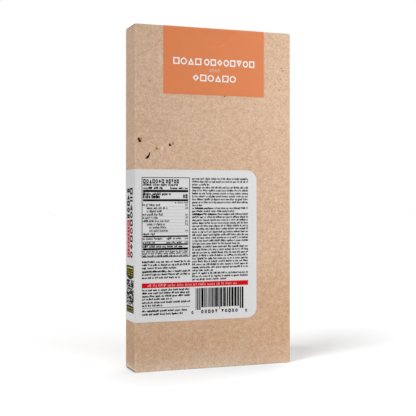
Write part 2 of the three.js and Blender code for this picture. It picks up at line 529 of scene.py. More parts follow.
# A line of straight runs with a round fold at each corner, every turn to the left. Straight runs
# are split evenly and each corner becomes an arc that touches both runs. Returns the points, the
# way out at each, to the right of travel, and the distance travelled. A point that repeats the
# one before is left out.
def foldedPath(corners, radii, spacing, arcSteps=10):
    corners = np.array(corners, float)
    steps = np.diff(corners, axis=0)
    ways = steps / np.linalg.norm(steps, axis=1, keepdims=True)
    outs = np.stack([ways[:, 1], -ways[:, 0]], 1)
    points, facings = [], []
    start = corners[0]
    for number, (way, out) in enumerate(zip(ways, outs)):
        last = number == len(ways) - 1
        radius = 0.0 if last else radii[number]
        turn = 0.0 if last else math.acos(float(np.clip(way @ ways[number + 1], -1, 1)))
        end = corners[number + 1] - way * radius * math.tan(turn / 2)
        pieces = max(1, math.ceil(np.linalg.norm(end - start) / spacing))
        along = np.linspace(0, 1, pieces + 1)[:, None]
        points.append(start + (end - start) * along)
        facings.append(np.repeat(out[None], pieces + 1, 0))
        if not last:
            angles = np.linspace(0, turn, arcSteps + 1)[1:-1, None]
            turned = out * np.cos(angles) + way * np.sin(angles)
            centre = end - out * radius
            points.append(centre + turned * radius)
            facings.append(turned)
            start = centre + outs[number + 1] * radius
    points, facings = np.concatenate(points), np.concatenate(facings)
    steps = np.linalg.norm(np.diff(points, axis=0), axis=1)
    travelled = np.concatenate([[0], np.cumsum(steps)])
    kept = np.concatenate([[True], steps > tiny])
    return points[kept], facings[kept], travelled[kept]


# More stops along a path, at given distances.
def addStops(path, extra):
    points, facings, travelled = path
    stops = np.union1d(travelled, extra)
    stops = stops[np.concatenate([[True], np.diff(stops) > tiny])]
    between = lambda values: np.stack([np.interp(stops, travelled, v) for v in values.T], 1)
    return between(points), between(facings), stops


# The folded board, in millimetres; dustInset and both narrows are shares of a flap's width.
board = {
    "thick": 0.4,
    "fold": 0.42,
    "closureInset": 0.25,
    "slit": 0.15,
    "tuckLength": 11.0,
    "tuckSquare": 1.0,
    "tuckNarrows": 0.05,
    "dustLength": 8.0,
    "dustClear": 0.02,
    "dustInset": 0.03,
    "dustNarrows": 0.1,
    "lapLength": 12.0,
    "lapFold": 0.4,
    "notchRadius": 10.0,
    "notchDepth": 9.3,
    "notchColumns": 33,
    "spacing": 1.6,
    "flapSpacing": 1.5,
    "rows": 84,
    "bevel": 0.05,
    "bevelAngle": 60,
}

# Where the back panel and the side panels stop and their folds begin, and the notch's centre.
backTop = height - board["fold"]
sideTop = backTop - board["thick"]
notchCentre = height - board["notchDepth"] + board["notchRadius"]


# The upright panels as one strip. It starts at the back panel's cut edge, goes round the left
# side, the front and the right side, and ends in the glue flap under the back panel. A column
# stands at each stop; its top is at the front panel's edge, or where a closure or dust flap folds,
# or on the notch's arc: the circle's centre less the root of radius squared less across squared.
def sleeveSkin():
    lapLine = halfDepth - board["thick"] - board["dustClear"]
    corners = [(halfWidth, halfDepth), (-halfWidth, halfDepth), (-halfWidth, -halfDepth)]
    corners += [(halfWidth, -halfDepth), (halfWidth, lapLine), (halfWidth - board["lapLength"], lapLine)]
    path = foldedPath(corners, [board["fold"]] * 4, board["spacing"])
    points, facings, travelled = path
    onFront = facings[:, 1] < -straight
    frontMiddle = np.interp(0.0, points[onFront, 0], travelled[onFront])
    radius = board["notchRadius"]
    chord = math.sqrt(radius**2 - (radius - board["notchDepth"]) ** 2)
    sweep = np.linspace(-math.pi / 2, math.pi / 2, board["notchColumns"])
    notchStops = frontMiddle + chord * np.sin(sweep)
    points, facings, travelled = addStops(path, np.append(notchStops, board["closureInset"]))

    isFront, isBack = np.maximum(-facings[:, 1], 0) ** 2, np.maximum(facings[:, 1], 0) ** 2
    top = sideTop + isFront * (height - sideTop) + isBack * (backTop - sideTop)
    onLap = travelled > travelled[-1] - board["lapLength"] - board["lapFold"]
    top = np.where(onLap, sideTop - board["thick"], top)
    bottom = height - top
    inNotch = (facings[:, 1] < -straight) & (np.abs(points[:, 0]) < chord - tiny)
    inside = np.where(inNotch, radius**2 - points[:, 0] ** 2, 0)
    top = np.where(inNotch, notchCentre - np.sqrt(inside), top)

    share = np.linspace(0, 1, board["rows"])[:, None]
    return upright(points, facings, bottom + (top - bottom) * share)


# Columns on a path seen from above, as points and the way out at each.
def upright(points, facings, heights):
    grid = np.zeros(heights.shape + (3,))
    grid[..., :2] = points
    grid[..., 2] = heights
    outward = np.zeros_like(grid)
    outward[..., :2] = facings
    return grid, outward


# A flap that carries on from a row of the sleeve: the row is moved along a folded path in the
# plane that stands square to it. As it goes its length is multiplied by width, and it moves along
# itself by shift times half its length.
def flapSkin(hinge, out, path, width, shift):
    points, facings, _ = path
    middle = hinge.mean(0)
    along = hinge - middle
    grid = middle + along[None] * width[:, None, None] + shift[:, None, None] * along[-1]
    outAxis = np.array(out, float)
    grid = grid - (grid @ outAxis)[..., None] * outAxis
    grid[..., 2] = points[:, 1][:, None]
    grid = grid + points[:, 0][:, None, None] * outAxis
    outward = facings[:, :1, None] * outAxis + facings[:, 1:, None] * np.array([0.0, 0.0, 1.0])
    return grid, np.broadcast_to(outward, grid.shape).copy()


# A flap at the top and its mirror image at the bottom.
def bothEnds(grid, outward):
    turned, turnedOut = grid.copy(), outward.copy()
    turned[..., 2] = height - turned[..., 2]
    turnedOut[..., 2] *= -1
    return [gridSkin(grid, outward), gridSkin(turned, turnedOut)]


# The whole carton as one folded blank: the sleeve, a closure with its tuck flap at each end of the
# back panel, and a dust flap at each end of both side panels.
def boardSkin():
    fold, thick = board["fold"], board["thick"]
    closureEdge = halfWidth - board["closureInset"]
    sleeve, sleeveOut = sleeveSkin()
    skins = [gridSkin(sleeve, sleeveOut)]
    topRow, rowOut = sleeve[-1], sleeveOut[-1]

    # closure: over the top to the bend behind the front panel, then down as the tuck flap
    onBack = (rowOut[:, 1] > straight) & (topRow[:, 1] > halfDepth - tiny)
    hinge = topRow[onBack & (topRow[:, 0] < closureEdge + tiny)]
    bendLine = -halfDepth + thick + board["slit"]
    corners = [(halfDepth, backTop), (halfDepth, height), (bendLine, height)]
    corners.append((bendLine, height - board["tuckLength"]))
    path = foldedPath(corners, [fold, fold], board["flapSpacing"])
    travelled = path[2]
    wanted = 2 * closureEdge / (hinge[:, 0].max() - hinge[:, 0].min()) - 1
    progress = np.clip(travelled / (fold * math.pi / 2), 0, 1)
    tucked = travelled - travelled[-1] + board["tuckLength"] - board["tuckSquare"]
    tucked = np.clip(tucked / board["tuckLength"], 0, 1)
    spread = (1 + progress * wanted) * (1 - board["tuckNarrows"] * tucked**2)
    # it widens by a share and moves left by as much of half the hinge, so its right end stays put
    skins += bothEnds(*flapSkin(hinge, (0, 1, 0), path, spread, progress * wanted))

    # dust flaps: from each side panel, in under the closure
    under = height - thick - board["dustClear"]
    corners = [(halfWidth, sideTop), (halfWidth, under), (halfWidth - board["dustLength"], under)]
    path = foldedPath(corners, [under - sideTop], board["flapSpacing"])
    travelled = path[2]
    progress, away = np.clip(travelled / fold, 0, 1), travelled / travelled[-1]
    width = 1 - board["dustInset"] * progress - board["dustNarrows"] * away
    for side in (-1, 1):
        onSide = (rowOut[:, 0] * side > straight) & (np.abs(topRow[:, 0] - side * halfWidth) < tiny)
        skins += bothEnds(*flapSkin(topRow[onSide], (side, 0, 0), path, width, 0 * width))
    return weldSkin(joinSkins(skins))


# The seal and the label. Lift is how far their outer faces stand off the board.
papers = {
    "lift": 0.10,
    "sealHalfWidth": 25.95,
    "sealShift": -0.15,
    "sealDrop": 32.3,
    "labelTop": 95.6,
    "labelBottom": 23.4,
    "labelFront": 62.05,
    "labelBack": 20.0,
    "labelCorner": 5.0,
    "dimple": 0.48,
    "dimpleEdge": 1.0,
    "rim": 0.2,
    "rimFade": 4,
    "slitSag": 0.06,
    "slitAt": 0.35,
    "slitReach": 0.3,
    "frontFold": 0.05,
    "sealSpacing": 0.45,
    "sealArc": 8,
    "sealColumns": 116,
    "labelSpacing": 1.5,
    "labelRows": 40,
}


# The seal: a path up the back, over the top and down the front, carried across. Over the thumb
# notch and over the slit it sinks a little, by a smooth step from the edge of each.
def sealSkin():
    lift, fold = papers["lift"], board["fold"]
    low, high, out = height - papers["sealDrop"], height + lift, halfDepth + lift
    corners = [(out, low), (out, high), (-out, high), (-out, low)]
    radii = [fold + lift, lift + papers["frontFold"]]
    points, facings, _ = foldedPath(corners, radii, papers["sealSpacing"], papers["sealArc"])
    share = np.linspace(-1, 1, papers["sealColumns"])
    grid = np.zeros((len(points), len(share), 3))
    grid[..., 0] = papers["sealShift"] + papers["sealHalfWidth"] * share
    grid[..., 1:] = points[:, None]
    outward = np.zeros_like(grid)
    outward[..., 1:] = facings[:, None]

    reach = board["notchRadius"] - np.hypot(grid[..., 0], grid[..., 2] - notchCentre)
    notch = smooth(reach / papers["dimpleEdge"])
    underTop = smooth((height - papers["rim"] - grid[..., 2]) / papers["rimFade"])
    onFront, onTop = facings[:, :1] < -straight, facings[:, 1:] > straight
    fromSlit = grid[..., 1] - (-halfDepth + board["thick"] + papers["slitAt"])
    sag = papers["slitSag"] * np.exp(-((fromSlit / papers["slitReach"]) ** 2))
    sink = papers["dimple"] * notch * underTop * onFront + sag * onTop
    return gridSkin(grid - outward * sink[..., None], outward)


# A smooth rise from 0 to 1: 3 times the square less 2 times the cube.
def smooth(value):
    value = np.clip(value, 0, 1)
    return value * value * (3 - 2 * value)


# The label: a path along the back, round both left folds and along the front, carried upright.
# Near a free end its height shrinks by the round corner's own depth there, which is the radius
# less the root of its square less that of the gap to the corner's centre.
def labelSkin():
    lift, fold = papers["lift"], board["fold"]
    backEnd, frontEnd = papers["labelBack"] - halfWidth, papers["labelFront"] - halfWidth
    left, out = -halfWidth - lift, halfDepth + lift
    corners = [(backEnd, out), (left, out), (left, -out), (frontEnd, -out)]
    path = foldedPath(corners, [fold + lift] * 2, papers["labelSpacing"])
    corner = papers["labelCorner"]
    curve = corner * (1 - np.cos(np.linspace(0, math.pi / 2, 13)))
    path = addStops(path, np.concatenate([curve, path[2][-1] - curve]))
    points, facings, travelled = path
    fromEnd = np.minimum(travelled, travelled[-1] - travelled)
    gap = corner - np.minimum(fromEnd, corner)
    trim = corner - np.sqrt(np.maximum(corner**2 - gap**2, 0))
    low, high = papers["labelBottom"] + trim, papers["labelTop"] - trim
    share = np.linspace(0, 1, papers["labelRows"])[:, None]
    return gridSkin(*upright(points, facings, low + (high - low) * share))


# A face of the carton has its own two distances: across, from the fold it starts at, and up. Each
# has its start, the way across and the way out, as seen from above.
faceFrames = {
    "front": [(-halfWidth, -halfDepth), (1, 0), (0, -1)],
    "left": [(-halfWidth, -halfDepth), (0, 1), (-1, 0)],
    "back": [(halfWidth, halfDepth), (-1, 0), (0, 1)],
    "right": [(halfWidth, -halfDepth), (0, 1), (1, 0)],
}


# Distances on a face as points, and the way out at each. A point is the face's start, plus the
# distance across along its way, plus the lift along its way out.
def liftedOff(face, flat, lifts):
    start, way, out = (np.array(pair, float) for pair in faceFrames[face])
    return upright(start + flat[..., :1] * way + out * lifts, out, flat[..., 1])


# Puts quads given as (number, 4, 2) distances on a face, lifted off the board.
def onFace(face, flat, lift):
    points, facings = liftedOff(face, flat, lift)
    quads = np.arange(len(flat) * 4).reshape(-1, 4)
    return agree(points.reshape(-1, 3), facings.reshape(-1, 3), quads)


# Upright rectangles, one for each row of (from, to, low, high).
def bars(rows):
    left, right, low, high = np.array(rows, float).T
    corners = [(left, low), (right, low), (right, high), (left, high)]
    return np.stack([np.stack(corner, -1) for corner in corners], 1)


# Open outlines in a box from -1 to 1, each with its hub, the height on the middle line that it
# shrinks towards, and its reach, which is how far its sides are from there.
ringTurns = 2 * math.pi * (np.arange(24) / 24)
outlines = {
    "ring": (np.stack([np.cos(ringTurns), np.sin(ringTurns)], 1), 0.0, 0.99),
    "square": ([(-1, -1), (1, -1), (1, 1), (-1, 1)], 0.0, 1.0),
    "diamond": ([(0, -1), (1, 0), (0, 1), (-1, 0)], 0.0, 0.707),
    "triangle": ([(-1, -1), (1, -1), (0, 1)], -0.382, 0.618),
    "wedge": ([(-1, 1), (0, -1), (1, 1)], 0.382, 0.618),
}


# An outline in the box from (left, low) to (right, high). Each of its sides is a quad between the
# outline and the same outline drawn in by the stroke.
def outlineQuads(kind, left, right, low, high, stroke):
    corners, hub, reach = outlines[kind]
    unit, hub = np.array(corners, float), np.array([0, hub])
    half = np.array([right - left, high - low]) / 2
    inner = hub + (unit - hub) * (1 - stroke / half.min() / reach)
    middle = np.array([left + right, low + high]) / 2
    outer, inner = middle + unit * half, middle + inner * half
    return np.stack([outer, np.roll(outer, -1, 0), np.roll(inner, -1, 0), inner], 1)


# Outlines in a row that fills a box, with a gap between neighbours; upright is the box's own way.
# The kind called bars is two strokes, a little inside their cell.
def outlineRow(kinds, left, right, low, high, stroke, gap, upright=False):
    kinds = kinds.split()
    start, end = (low, high) if upright else (left, right)
    pitch = (end - start + gap) / len(kinds)
    shapes = []
    for number, kind in enumerate(kinds):
        begin = start + number * pitch
        finish = begin + pitch - gap
        inset = (finish - begin) * pairInset
        one, two = begin + inset, finish - inset
        if kind == "bars" and upright:
            shapes.append(bars([(left, right, one, one + stroke), (left, right, two - stroke, two)]))
        elif kind == "bars":
            shapes.append(bars([(one, one + stroke, low, high), (two - stroke, two, low, high)]))
        elif upright:
            shapes.append(outlineQuads(kind, left, right, begin, finish, stroke))
        else:
            shapes.append(outlineQuads(kind, begin, finish, low, high, stroke))
    return np.concatenate(shapes)


# Ink: its thickness, and how far the first layer and one over it stand off the paper.
inkLayer = {"thick": 0.012, "first": 0.010, "second": 0.018}

pairInset = 0.12

# Shares of a stroke's pitch, thickness and height, and the draws that make a stroke an odd one.
words = {
    "sway": (-0.12, 0.12),
    "thick": (0.75, 1.25),
    "even": (0.88, 1.0),
    "tall": 1.34,
    "tallAbove": 0.72,
    "hang": 0.30,
    "hangBelow": 0.09,
    "raised": 0.3,
    "raisedAbove": 0.95,
}


# Stand-in small print: a line of upright strokes in words. Every place on an even pitch has a
# stroke except the gaps between words. Each stroke draws a number: some stand tall, some hang
# below the line and some start above it.
def wordQuads(rng, start, end, base, tall, pitch, thick, longest=9):
    count = max(2, int(round((end - start) / pitch)))
    pitch = (end - start - thick) / (count - 1)
    breaks = np.cumsum(rng.integers(2, longest, count) + 1) - 1
    places = np.setdiff1d(np.arange(count), breaks[breaks < count - 2])
    left = start + places * pitch + rng.uniform(*words["sway"], len(places)) * pitch
    wide = thick * rng.uniform(*words["thick"], len(places))
    draw = rng.random(len(places))
    even = rng.uniform(*words["even"], len(places))
    high = base + tall * np.where(draw > words["tallAbove"], words["tall"], even)
    low = base - tall * np.where(draw < words["hangBelow"], words["hang"], 0.0)
    low = low + tall * words["raised"] * (draw > words["raisedAbove"])
    return bars(np.stack([left, left + wide, low, high], 1))


factsPanel = {
    "frame": (3.4, 27.4, 54.0, 91.9),
    "frameStroke": 0.33,
    # heavy rules: from and to, then low and high of each
    "ruleSpan": (4.0, 26.5),
    "rules": [
        (84.80, 85.92), (80.48, 81.50), (63.48, 64.24),
        (61.48, 61.64), (59.66, 60.44), (57.36, 58.42),
    ],
    # bold lines: from, to, base, height of a stroke, share of the line that is ink
    "bold": [
        (4.05, 21.25, 87.85, 0.85, 0.8), (4.25, 13.6, 86.25, 0.86, 0.86),
        (17.5, 26.25, 86.25, 0.78, 0.86), (4.05, 17.75, 83.4, 0.95, 0.82),
        (4.05, 12.25, 81.85, 1.4, 0.84), (19.75, 26.4, 79.5, 0.5, 0.82),
        (3.9, 13.5, 62.35, 0.72, 0.82), (15.65, 22.9, 62.35, 0.72, 0.82),
        (3.9, 9.75, 60.55, 0.66, 0.82), (15.65, 23.1, 60.55, 0.66, 0.82),
        (3.9, 23.5, 58.6, 0.72, 0.88),
    ],
    # a bold line's pitch: this much, and this share of its height
    "boldPitch": (0.30, 0.28),
    "rowTop": 78.75,
    "rowPitch": 1.533,
    "rowStarts": [3.9, 5.85, 5.85, 3.9, 3.9, 3.9, 5.85, 7.1, 7.1, 3.9],
    "rowEnds": [12.4, 16.25, 13.25, 13.75, 11.25, 17.1, 14.75, 15.5, 16.4, 9.75],
    # fine rules: from, to, how far below the row's middle, half thickness
    "rowRule": (4.05, 26.4, 0.76, 0.03),
    "shares": (24.95, 26.35),
    "shareRows": [0, 1, 3, 4, 5, 6, 8],
    "ends": (24.75, 26.4),
    "endBases": [62.35, 60.55],
    "foot": (3.9, 26.25),
    "footLines": [56.7, 55.77, 54.65],
    # a line of strokes: how far its base is below its middle, its height, pitch and thickness
    "lines": {
        "row": (0.42, 0.80, 0.42, 0.32),
        "share": (0.4, 0.8, 0.42, 0.3),
        "end": (0.0, 0.66, 0.4, 0.26),
        "foot": (0.33, 0.62, 0.38, 0.29),
    },
    # outlines in a row: kinds, from, to, low, high
    "shapes": [
        ("square ring triangle square ring diamond square", 4.1, 14.4, 88.95, 91.0),
        ("ring square wedge ring square", 15.3, 21.75, 88.95, 91.0),
        ("ring square", 23.9, 26.15, 81.85, 83.9),
    ],
    "shapeStroke": 0.38,
    "shapeGap": 0.28,
}


# The facts panel: a thin frame, heavy and light rules, and rows of outlines and strokes where its
# words stand. Each row's middle is one pitch below the last, from rowTop down.
def factsPanelQuads(rng):
    def addLine(kind, start, end, middle):
        drop, *stroke = factsPanel["lines"][kind]
        flat.append(wordQuads(rng, start, end, middle - drop, *stroke))

    flat = [frameQuads(*factsPanel["frame"], factsPanel["frameStroke"])]
    flat.append(bars([(*factsPanel["ruleSpan"], *rule) for rule in factsPanel["rules"]]))
    stroke, gap = factsPanel["shapeStroke"], factsPanel["shapeGap"]
    flat += [outlineRow(*shapes, stroke, gap) for shapes in factsPanel["shapes"]]
    least, more = factsPanel["boldPitch"]
    for start, end, base, tall, share in factsPanel["bold"]:
        pitch = least + more * tall
        flat.append(wordQuads(rng, start, end, base, tall, pitch, pitch * share))
    ruleStart, ruleEnd, ruleDrop, ruleHalf = factsPanel["rowRule"]
    for number, (start, end) in enumerate(zip(factsPanel["rowStarts"], factsPanel["rowEnds"])):
        middle = factsPanel["rowTop"] - number * factsPanel["rowPitch"]
        addLine("row", start, end, middle)
        if number in factsPanel["shareRows"]:
            addLine("share", *factsPanel["shares"], middle)
        rule = middle - ruleDrop
        flat.append(bars([(max(start, ruleStart), ruleEnd, rule - ruleHalf, rule + ruleHalf)]))
    for base in factsPanel["endBases"]:
        addLine("end", *factsPanel["ends"], base)
    for middle in factsPanel["footLines"]:
        addLine("foot", *factsPanel["foot"], middle)
    return np.concatenate(flat)


# A frame: two level bars over the full width, and two upright bars between them.
def frameQuads(left, right, low, high, stroke):
    ends = [(left, right, low, low + stroke), (left, right, high - stroke, high)]
    between = (low + stroke, high - stroke)
    return bars([*ends, (left, left + stroke, *between), (right - stroke, right, *between)])


smallPrint = {
    "column": (28.5, 57.4),
    "columnTop": 91.25,
    "columnPitch": 1.421,
    "columnLines": 35,
    "shortLines": {2: 37.25, 9: 33.5, 11: 50.25, 22: 53.0, 31: 39.15, 34: 46.0},
    "boldStarts": {3: 33.0, 10: 39.25, 12: 41.0, 23: 33.25},
    # left column: middle height, end, end of its bold start
    "paragraphs": [
        (51.75, 27.3, 9.75), (50.3, 27.3, 0), (48.85, 20.5, 0),
        (47.2, 27.3, 15.5), (45.75, 27.3, 0), (44.25, 22.25, 0),
        (38.4, 27.3, 0), (37.0, 27.3, 0), (35.55, 27.3, 0), (34.15, 18.25, 0),
        (32.6, 27.3, 0), (31.15, 13.5, 0), (28.6, 26.0, 11.75), (27.0, 23.75, 0),
    ],
    "start": 3.5,
    "rule": (3.5, 27.3, 29.98, 30.22),
    "tall": 0.74,
    "pitch": 0.42,
    "thin": 0.352,
    "leftThin": 0.385,
    "bold": 0.46,
    "boldPitch": 1.1,
    "longestBold": 40,
    "afterBold": 0.6,
}


# Two columns of small print. The right one's lines are one pitch apart from columnTop down, and the
# left one's stand where the paragraphs say. A line may begin with heavier strokes.
def smallPrintQuads(rng):
    flat = [bars([smallPrint["rule"]])]
    start, end = smallPrint["column"]
    lines = []
    for number in range(smallPrint["columnLines"]):
        middle = smallPrint["columnTop"] - number * smallPrint["columnPitch"]
        stop = smallPrint["shortLines"].get(number, end)
        lines.append((middle, start, stop, smallPrint["boldStarts"].get(number, 0)))
    for middle, stop, heavy in smallPrint["paragraphs"]:
        lines.append((middle, smallPrint["start"], stop, heavy))
    tall, pitch = smallPrint["tall"], smallPrint["pitch"]
    boldPitch, bold = pitch * smallPrint["boldPitch"], smallPrint["bold"]
    for middle, begin, stop, heavy in lines:
        base = middle - tall / 2
        thin = smallPrint["thin"] if begin == start else smallPrint["leftThin"]
        if heavy:
            longest = smallPrint["longestBold"]
            flat.append(wordQuads(rng, begin, heavy, base, tall, boldPitch, bold, longest))
            begin = heavy + smallPrint["afterBold"]
        flat.append(wordQuads(rng, begin, stop, base, tall, pitch, thin))
    return np.concatenate(flat)


stripes = {
    "from": 30.35,
    "to": 55.0,
    "low": 29.4,
    "guardLow": 28.25,
    "high": 38.75,
    "modules": 95,
    "drawn": 96,
    "guard": 9,
    "middleGuard": 2.5,
    "spread": 0.085,
    "underRow": (26.5, 28.2),
    "groups": [("ring bars square ring wedge", 33.0, 41.5), ("wedge ring square bars ring", 43.5, 52.1)],
    "groupStroke": 0.43,
    "groupGap": 0.5,
    "outer": [(28.15, 29.15), (56.0, 57.0)],
    "outerDrops": (0.2, 0.3),
    "outerStroke": 0.33,
}


# A field of upright stripes with drawn widths, longer ones at both ends and in the middle, and a
# row of small rings and strokes under it. It isn't a code: the drawn widths are summed to give the
# edges, which are stretched to fill the field.
def stripeQuads(rng):
    modules, guard = stripes["modules"], stripes["guard"]
    module = (stripes["to"] - stripes["from"]) / modules
    widths = rng.choice([1, 1, 2, 2, 3, 4], stripes["drawn"])
    widths[1::2] = np.minimum(widths[1::2], 2)
    edges = np.concatenate([[0], np.cumsum(widths)])
    edges = edges[edges <= modules]
    edges = edges[: len(edges) // 2 * 2]
    edges = edges * modules / edges[-1]
    left, right = edges[::2], edges[1::2]
    middle = (left + right) / 2
    inMiddle = np.abs(middle - modules / 2) < stripes["middleGuard"]
    longer = (middle < guard) | (middle > modules - guard) | inMiddle
    low = np.where(longer, stripes["guardLow"], stripes["low"])
    left = stripes["from"] + left * module - stripes["spread"]
    right = stripes["from"] + right * module + stripes["spread"]
    flat = [bars(np.stack([left, right, low, np.full(len(low), stripes["high"])], 1))]
    low, high = stripes["underRow"]
    for kinds, start, end in stripes["groups"]:
        row = outlineRow(kinds, start, end, low, high, stripes["groupStroke"], stripes["groupGap"])
        flat.append(row)
    lowDrop, highDrop = stripes["outerDrops"]
    for start, end in stripes["outer"]:
        box = (start, end, low - lowDrop, high - highDrop)
        flat.append(outlineQuads("ring", *box, stripes["outerStroke"]))
    return np.concatenate(flat)


# The red band's marks: from, to, base, height of a stroke, pitch, thickness, longest word.
redBand = {
    "box": (3.4, 57.55, 39.5, 41.8),
    "marks": (6.4, 51.25, 40.05, 0.95, 0.66, 0.19, 8),
}

# Where the seal has its words there are rows of plain outlines: kinds, from, to, low, high.
sealTitle = {
    "heavy": [
        ("square ring triangle square", 19.0, 33.2, 145.95, 149.2),
        ("ring square diamond ring square wedge ring square", 34.6, 60.9, 145.95, 149.2),
        ("diamond square ring triangle square ring", 28.75, 51.1, 138.3, 141.5),
    ],
    "fine": ("ring square diamond ring", 37.3, 42.6, 142.95, 144.45),
    "stroke": 0.575,
    "gap": 0.55,
    "fineStroke": 0.16,
    "fineGap": 0.42,
}


# The seal's heavy rows of outlines, and its fine row. Each row shares out its length evenly.
def sealTitleQuads():
    stroke, gap = sealTitle["stroke"], sealTitle["gap"]
    heavy = [outlineRow(*row, stroke, gap) for row in sealTitle["heavy"]]
    fine = outlineRow(*sealTitle["fine"], sealTitle["fineStroke"], sealTitle["fineGap"])
    return np.concatenate(heavy), fine


sideMarks = {
    # outlines one above the other: kinds, from, to, low, high
    "columns": [
        ("ring diamond square ring square ring triangle bars square", 3.1, 7.8, 53.6, 86.9),
        ("bars ring square triangle bars", 8.3, 13.0, 72.0, 86.9),
    ],
    "stroke": 0.92,
    "gap": 0.55,
    "redBlock": (8.3, 12.75, 53.6, 71.5),
    "blockKinds": "bars ring square bars triangle",
    "blockInset": 0.55,
    "blockStroke": 0.32,
    "blockGap": 0.9,
    "badges": [(1.45, 13.95, 44.6, 49.85), (1.45, 13.95, 27.5, 30.85)],
    "badgePoint": 43.4,
    "badgeBar": (2.8, 12.6, 48.4, 48.95),
    # short strokes on a badge: lines, and what they keep clear of
    "badgeLines": [3, 2],
    "badgeMargins": {"side": 1.6, "top": 0.4, "low": 0.3, "base": 0.45},
    # height as a share of the pitch up, pitch across, thickness, longest word
    "badgeStrokes": (0.42, 0.9, 0.34, 6),
    "field": (1.45, 13.95, 31.2, 43.1),
    "fieldCells": (11, 21),
    "fieldFill": 0.80,
}


# The two columns of outlines on the side. Each shares out its height evenly.
def sideBlackQuads():
    stroke, gap = sideMarks["stroke"], sideMarks["gap"]
    return np.concatenate([outlineRow(*row, stroke, gap, True) for row in sideMarks["columns"]])


# A column of outlines in the red block's box, less an inset all round.
def sideBlockMarkQuads():
    left, right, low, high = sideMarks["redBlock"]
    inset = sideMarks["blockInset"]
    box = (left + inset, right - inset, low + inset, high - inset)
    stroke, gap = sideMarks["blockStroke"], sideMarks["blockGap"]
    return outlineRow(sideMarks["blockKinds"], *box, stroke, gap, True)


# Two dark badges. The upper one has a blunt point below, a third of its width at the tip.
def badgeQuads():
    flat = bars(sideMarks["badges"])
    left, right, low, _ = sideMarks["badges"][0]
    point = sideMarks["badgePoint"]
    third = (right - left) / 3
    tip = [(left, low), (left + third, point), (right - third, point), (right, low)]
    return np.concatenate([flat, np.array([tip], float)])


# A solid bar at the top of the upper badge, and rows of short strokes on both, which share out the
# height between the margins evenly.
def badgeBarQuads(rng):
    flat = [bars([sideMarks["badgeBar"]])]
    margins = sideMarks["badgeMargins"]
    share, across, thick, longest = sideMarks["badgeStrokes"]
    for lines, (left, right, low, high) in zip(sideMarks["badgeLines"], sideMarks["badges"]):
        start, end = left + margins["side"], right - margins["side"]
        top = min(high, sideMarks["badgeBar"][2]) - margins["top"]
        pitch = (top - low - margins["low"]) / lines
        for number in range(lines):
            base = low + margins["base"] + number * pitch
            flat.append(wordQuads(rng, start, end, base, pitch * share, across, thick, longest))
    return np.concatenate(flat)


# A grid of cells between the badges. A cell is filled where a number drawn from 0 to 1 is below
# the share that is filled.
def fieldQuads(rng):
    left, right, low, high = sideMarks["field"]
    cells = sideMarks["fieldCells"]
    wide, tall = (right - left) / cells[0], (high - low) / cells[1]
    filled = np.argwhere(rng.random(cells) < sideMarks["fieldFill"])
    start, base = left + filled[:, 0] * wide, low + filled[:, 1] * tall
    return bars(np.stack([start, start + wide, base, base + tall], 1))


# Bits of darker fibre in the board.
specks = {
    # blots in the front panel: across from the middle, up, half width, half height
    "dark": [
        (-38.1, 109.7, 0.7, 0.7), (-37.6, 108.9, 0.65, 0.7),
        (-22.8, 107.3, 0.65, 0.65), (5.0, 131.5, 0.5, 0.2),
    ],
    "small": [
        (-37.2, 109.9, 0.55, 0.65), (-21.3, 108.0, 0.45, 0.6), (-29.3, 105.5, 0.7, 0.7),
        (-32.7, 137.3, 0.4, 0.35), (35.4, 146.5, 0.7, 0.2), (36.2, 145.6, 0.65, 0.2),
        (35.0, 141.1, 0.35, 0.35), (34.2, 135.7, 0.35, 0.35), (31.9, 138.6, 0.35, 0.3),
    ],
    # the curled fibre is an arc: its centre, and the turn from its thick lower end to its thin top
    "curlCentre": (-35.9, 103.6),
    "curlRadius": 3.05,
    "curlTurn": (-74, 4.5),
    "curlHalfWidth": [0.10, 0.44, 0.64, 0.50, 0.36, 0.28, 0.12],
    "curlGrid": (25, 5),
    "curlDome": 0.02,
    "scattered": 240,
    "scatteredHalf": (0.06, 0.20),
    "scatteredStretch": (0.7, 1.4),
    "scatteredFaces": {"front": 0.4, "back": 0.4, "left": 0.1, "right": 0.1},
    "margin": 1.5,
    # a blot: how far a wave pushes its edge, how high its middle is and how far its rim stands off
    "wave": (0.04, 0.16),
    "dome": 0.012,
    "stand": 0.004,
    "thick": 0.03,
}


# A small blot: a square grid pressed into a disc, each distance times the root of 1 less half the
# other's square. Three waves push its edge in and out, and its middle is raised by the dome times 1
# less the square of the distance from it.
def blotSkin(face, across, up, halfAcross, halfUp, rng):
    side = np.linspace(-1, 1, 7)
    u, v = np.meshgrid(side, side)
    x, y = u * np.sqrt(1 - v * v / 2), v * np.sqrt(1 - u * u / 2)
    angle, radius = np.arctan2(y, x), np.hypot(x, y)
    waves = 0
    for count in (2, 3, 5):
        size = rng.uniform(*specks["wave"])
        waves = waves + size * np.sin(count * angle + rng.uniform(0, 6.3))
    x, y = x * (1 + waves * radius), y * (1 + waves * radius)
    flat = np.stack([across + x * halfAcross, up + y * halfUp], -1)
    return domeOn(face, flat, specks["dome"] * (1 - radius**2))


# A grid of distances on a face, each point lifted by its own amount.
def domeOn(face, flat, lifts):
    return gridSkin(*liftedOff(face, flat, lifts[..., None] + specks["stand"]))


# The curled fibre: a ribbon along an arc, wide near its lower end. Each point lies on a ray from
# the arc's centre, at the arc's radius less a share of the ribbon's half width there.
def curlSkin():
    widths = specks["curlHalfWidth"]
    rows, columns = specks["curlGrid"]
    along = np.linspace(0, 1, rows)
    turn = np.radians(np.interp(along, (0, 1), specks["curlTurn"]))[:, None]
    half = np.interp(along, np.linspace(0, 1, len(widths)), widths)[:, None]
    share = np.linspace(-1, 1, columns)
    radius = specks["curlRadius"] - half * share
    x, z = specks["curlCentre"]
    flat = np.stack([x + halfWidth + radius * np.cos(turn), z + radius * np.sin(turn)], -1)
    return domeOn("front", flat, specks["curlDome"] * (1 - share**2) * np.ones((rows, 1)))
